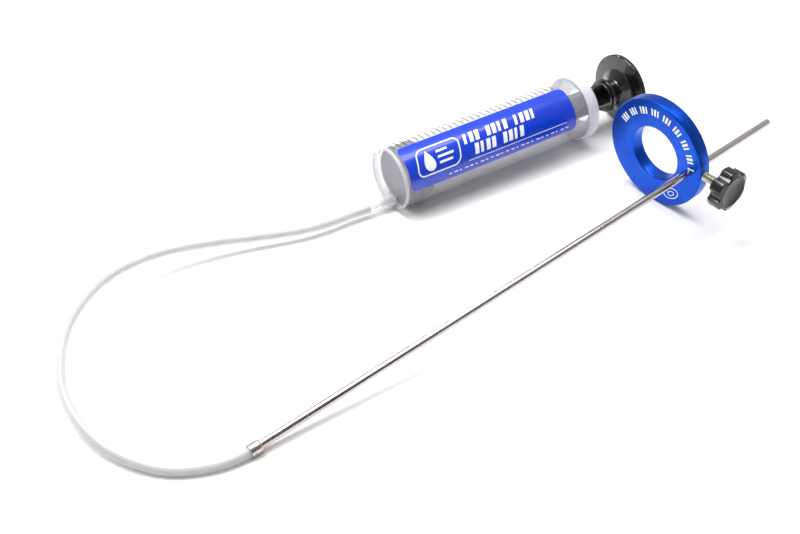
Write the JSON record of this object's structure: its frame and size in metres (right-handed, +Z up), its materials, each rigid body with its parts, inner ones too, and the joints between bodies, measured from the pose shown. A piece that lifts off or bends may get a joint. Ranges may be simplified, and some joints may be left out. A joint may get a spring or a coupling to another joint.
{
  "type": "fork oil level syringe",
  "caption": "Large suction syringe joined by a clear hose to a graduated probe tube with a sliding, clamped depth collar, for setting fork oil level.",
  "frame": {"origin": "centre of the bounding box of the rigid pieces on the surface they lie on", "axes": "+X along the probe tube's run towards its tip, +Z up, +Y towards the syringe"},
  "size_m": [0.4591, 0.1925, 0.0745],
  "materials": {
    "frosted_barrel": "frosted translucent polypropylene",
    "blue_label": "glossy printed blue film",
    "clear_cap": "milky translucent polypropylene",
    "stopper_rubber": "moulded black rubber",
    "black_rod": "gloss black moulded plastic",
    "black_disc": "high gloss black plastic",
    "clear_adapter": "clear moulded plastic",
    "hose_clear": "milky translucent flexible tubing",
    "nickel_ferrule": "nickel plated, lightly worn",
    "polished_steel": "polished stainless tube with etched scale",
    "blue_anodised": "satin blue anodised, turned faces",
    "nylon": "natural nylon",
    "zinc_stud": "yellow zinc plated thread",
    "black_knob": "satin black moulded plastic",
    "knob_cover": "satin dark grey moulded plastic"
  },
  "bodies": {
    "tool": {"barrel": "frosted_barrel", "barrel_label": "blue_label", "hose_adapter": "clear_adapter", "hose": "hose_clear", "ferrule": "nickel_ferrule", "probe_tube": "polished_steel"},
    "cap": {"rear_cap": "clear_cap"},
    "piston": {"piston_stopper": "stopper_rubber"},
    "plunger": {"plunger_rod": "black_rod", "thumb_disc": "black_disc"},
    "collar": {"depth_collar": "blue_anodised"},
    "pad": {"thrust_pad": "nylon"},
    "knob": {"clamp_stud": "zinc_stud", "clamp_knob": "black_knob", "knob_cap": "knob_cover"}
  },
  "joints": [
    {"name": "plunger_slide", "type": "slide", "parent": "tool", "child": "piston", "axis": [0.9957, -0.0906, 0.0213], "range_m": [0, 0.125]},
    {"name": "plunger_spin", "type": "hinge", "parent": "piston", "child": "plunger", "pos_m": [-0.011, 0.0684, 0.0209], "axis": [0.9957, -0.0906, 0.0213], "continuous": true},
    {"name": "cap_turn", "type": "hinge", "parent": "tool", "child": "cap", "pos_m": [-0.011, 0.0684, 0.0209], "axis": [0.9957, -0.0906, 0.0213], "range_deg": [0, 720]},
    {"name": "collar_slide", "type": "slide", "parent": "tool", "child": "collar", "axis": [0.9947, 0, 0.1028], "range_m": [-0.313, 0.064]},
    {"name": "pad_press", "type": "slide", "parent": "collar", "child": "pad", "axis": [0, -1, 0], "range_m": [0, 0.0031]},
    {"name": "knob_turn", "type": "hinge", "parent": "pad", "child": "knob", "pos_m": [0.12848, -0.0586, 0.03727], "axis": [0, -1, 0], "range_deg": [0, 1080]}
  ],
  "couplings": [
    {"joint": "pad_press", "follows": "knob_turn", "m_per_rad": 0.00015915}
  ]
}
